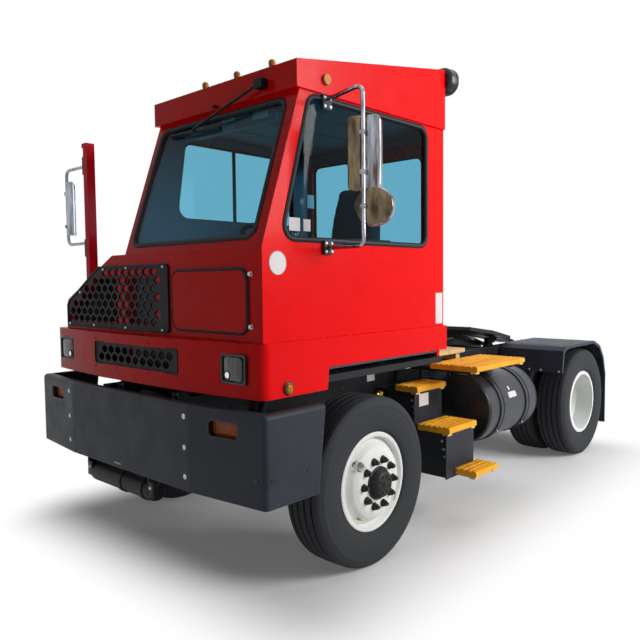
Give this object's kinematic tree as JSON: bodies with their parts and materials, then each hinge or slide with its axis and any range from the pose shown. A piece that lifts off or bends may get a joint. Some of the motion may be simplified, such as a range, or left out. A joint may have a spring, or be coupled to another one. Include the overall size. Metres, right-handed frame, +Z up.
{
  "type": "terminal tractor",
  "caption": "Terminal tractor with an offset tilting cab, front steering axle, twin-tyred drive axle, side steps, fuel tank and a lifting fifth wheel behind the cab.",
  "frame": {"origin": "on the ground under the middle of the overall length and width", "axes": "+X to the vehicle's left, +Y to its rear, +Z up"},
  "size_m": [2.8985, 5.1, 3.1633],
  "materials": {
    "red_paint": "gloss enamel",
    "chassis_paint": "satin enamel",
    "bumper_paint": "satin powder coat",
    "engine_paint": "sprayed enamel",
    "step_paint": "grit-filled safety yellow",
    "deck_paint": "pale antislip paint",
    "fender_black": "moulded, satin",
    "floor_black": "matt",
    "grille_black": "satin powder coat",
    "glass": "tinted",
    "amber": "moulded lens",
    "lamp_bezel": "gloss",
    "seat_cloth": "woven",
    "dash_plastic": "grained",
    "wiper_black": "satin",
    "stainless": "brushed",
    "mirror_chrome": "polished",
    "tyre": "moulded",
    "wheel_white": "gloss enamel",
    "fifth_black": "greased, satin",
    "chrome_rod": "ground and plated"
  },
  "bodies": {
    "chassis": {"frame_rails": "chassis_paint", "front_bumper": "bumper_paint", "bumper_signals": "amber", "front_axle": "chassis_paint", "rear_axle": "chassis_paint", "engine_and_radiator": "engine_paint", "air_tank": "chassis_paint", "fuel_tank": "chassis_paint", "step_treads": "step_paint", "step_boxes": "chassis_paint", "deck_plate": "deck_paint", "rear_fenders": "fender_black", "battery_box": "chassis_paint"},
    "cab": {"cab_fascia": "red_paint", "cab_front": "red_paint", "cab_wall_left": "red_paint", "cab_wall_right": "red_paint", "cab_wall_back": "red_paint", "cab_roof": "red_paint", "cab_floor": "floor_black", "hood": "red_paint", "grilles": "grille_black", "access_panel": "red_paint", "windscreen": "glass", "side_glass": "glass", "back_glass": "glass", "lamps": "lamp_bezel", "marker_lamps": "amber", "seat_cushions": "seat_cloth", "dashboard": "dash_plastic", "steering_wheel": "dash_plastic", "wipers": "wiper_black", "mirror_arms": "stainless", "mirror_post": "red_paint", "mirror_heads": "mirror_chrome"},
    "rear_door": {"rear_door": "red_paint", "rear_door_glass": "glass"},
    "knuckle_left": {"knuckle_left": "chassis_paint"},
    "knuckle_right": {"knuckle_right": "chassis_paint"},
    "tie_rod": {"tie_rod": "chassis_paint"},
    "wheel_front_left": {"tyre_front_left": "tyre", "rim_front_left": "wheel_white"},
    "wheel_front_right": {"tyre_front_right": "tyre", "rim_front_right": "wheel_white"},
    "wheel_rear_left": {"tyre_rear_left": "tyre", "rim_rear_left": "wheel_white"},
    "wheel_rear_right": {"tyre_rear_right": "tyre", "rim_rear_right": "wheel_white"},
    "boom": {"boom": "chassis_paint"},
    "fifth_wheel": {"fifth_wheel": "fifth_black"},
    "lift_barrels": {"lift_barrels": "chassis_paint"},
    "lift_rods": {"lift_rods": "chrome_rod"},
    "tilt_barrel": {"tilt_barrel": "chassis_paint"},
    "tilt_rod": {"tilt_rod": "chrome_rod"}
  },
  "joints": [
    {"name": "cab_tilt", "type": "hinge", "parent": "chassis", "child": "cab", "pos_m": [0, -2.44, 1.11], "axis": [1, 0, 0], "range_deg": [0, 45]},
    {"name": "rear_door_slide", "type": "slide", "parent": "cab", "child": "rear_door", "axis": [-1, 0, 0], "range_m": [0, 0.47]},
    {"name": "steer_left", "type": "hinge", "parent": "chassis", "child": "knuckle_left", "pos_m": [0.8, -1.51, 0.525], "axis": [0, 0, 1], "range_deg": [-34, 34]},
    {"name": "steer_right", "type": "hinge", "parent": "chassis", "child": "knuckle_right", "pos_m": [-0.8, -1.51, 0.525], "axis": [0, 0, 1], "range_deg": [-34.1, 34.1]},
    {"name": "tie_rod_slide", "type": "slide", "parent": "chassis", "child": "tie_rod", "axis": [-1, 0, 0], "range_m": [-0.1215, 0.1215]},
    {"name": "wheel_front_left_spin", "type": "hinge", "parent": "knuckle_left", "child": "wheel_front_left", "pos_m": [0.98, -1.51, 0.525], "axis": [1, 0, 0], "continuous": true},
    {"name": "wheel_front_right_spin", "type": "hinge", "parent": "knuckle_right", "child": "wheel_front_right", "pos_m": [-0.98, -1.51, 0.525], "axis": [1, 0, 0], "continuous": true},
    {"name": "wheel_rear_left_spin", "type": "hinge", "parent": "chassis", "child": "wheel_rear_left", "pos_m": [0.775, 1.9, 0.525], "axis": [1, 0, 0], "continuous": true},
    {"name": "wheel_rear_right_spin", "type": "hinge", "parent": "chassis", "child": "wheel_rear_right", "pos_m": [-0.775, 1.9, 0.525], "axis": [1, 0, 0], "continuous": true},
    {"name": "boom_lift", "type": "hinge", "parent": "chassis", "child": "boom", "pos_m": [0, 0.45, 1.01], "axis": [1, 0, 0], "range_deg": [0, 20]},
    {"name": "fifth_wheel_pitch", "type": "hinge", "parent": "boom", "child": "fifth_wheel", "pos_m": [0, 1.44, 1.13], "axis": [1, 0, 0], "range_deg": [-8, 20]},
    {"name": "lift_barrel_swing", "type": "hinge", "parent": "chassis", "child": "lift_barrels", "pos_m": [0, 0.79, 0.87], "axis": [1, 0, 0], "range_deg": [0, 29.16]},
    {"name": "lift_rod_extend", "type": "slide", "parent": "lift_barrels", "child": "lift_rods", "axis": [0, 0.9417, 0.3363], "range_m": [0, 0.1037]},
    {"name": "tilt_barrel_swing", "type": "hinge", "parent": "chassis", "child": "tilt_barrel", "pos_m": [0.5, -2.01, 0.6], "axis": [1, 0, 0], "range_deg": [0, 20.39]},
    {"name": "tilt_rod_extend", "type": "slide", "parent": "tilt_barrel", "child": "tilt_rod", "axis": [0, 0.3602, 0.9329], "range_m": [0, 0.4158]}
  ],
  "couplings": [
    {"joint": "steer_right", "follows": "steer_left", "ratio": 1},
    {"joint": "tie_rod_slide", "follows": "steer_left", "m_per_rad": 0.2026},
    {"joint": "lift_barrel_swing", "follows": "boom_lift", "ratio": 1.4382},
    {"joint": "lift_rod_extend", "follows": "boom_lift", "m_per_rad": 0.2942},
    {"joint": "tilt_barrel_swing", "follows": "cab_tilt", "ratio": 0.4465},
    {"joint": "tilt_rod_extend", "follows": "cab_tilt", "m_per_rad": 0.5269}
  ]
}
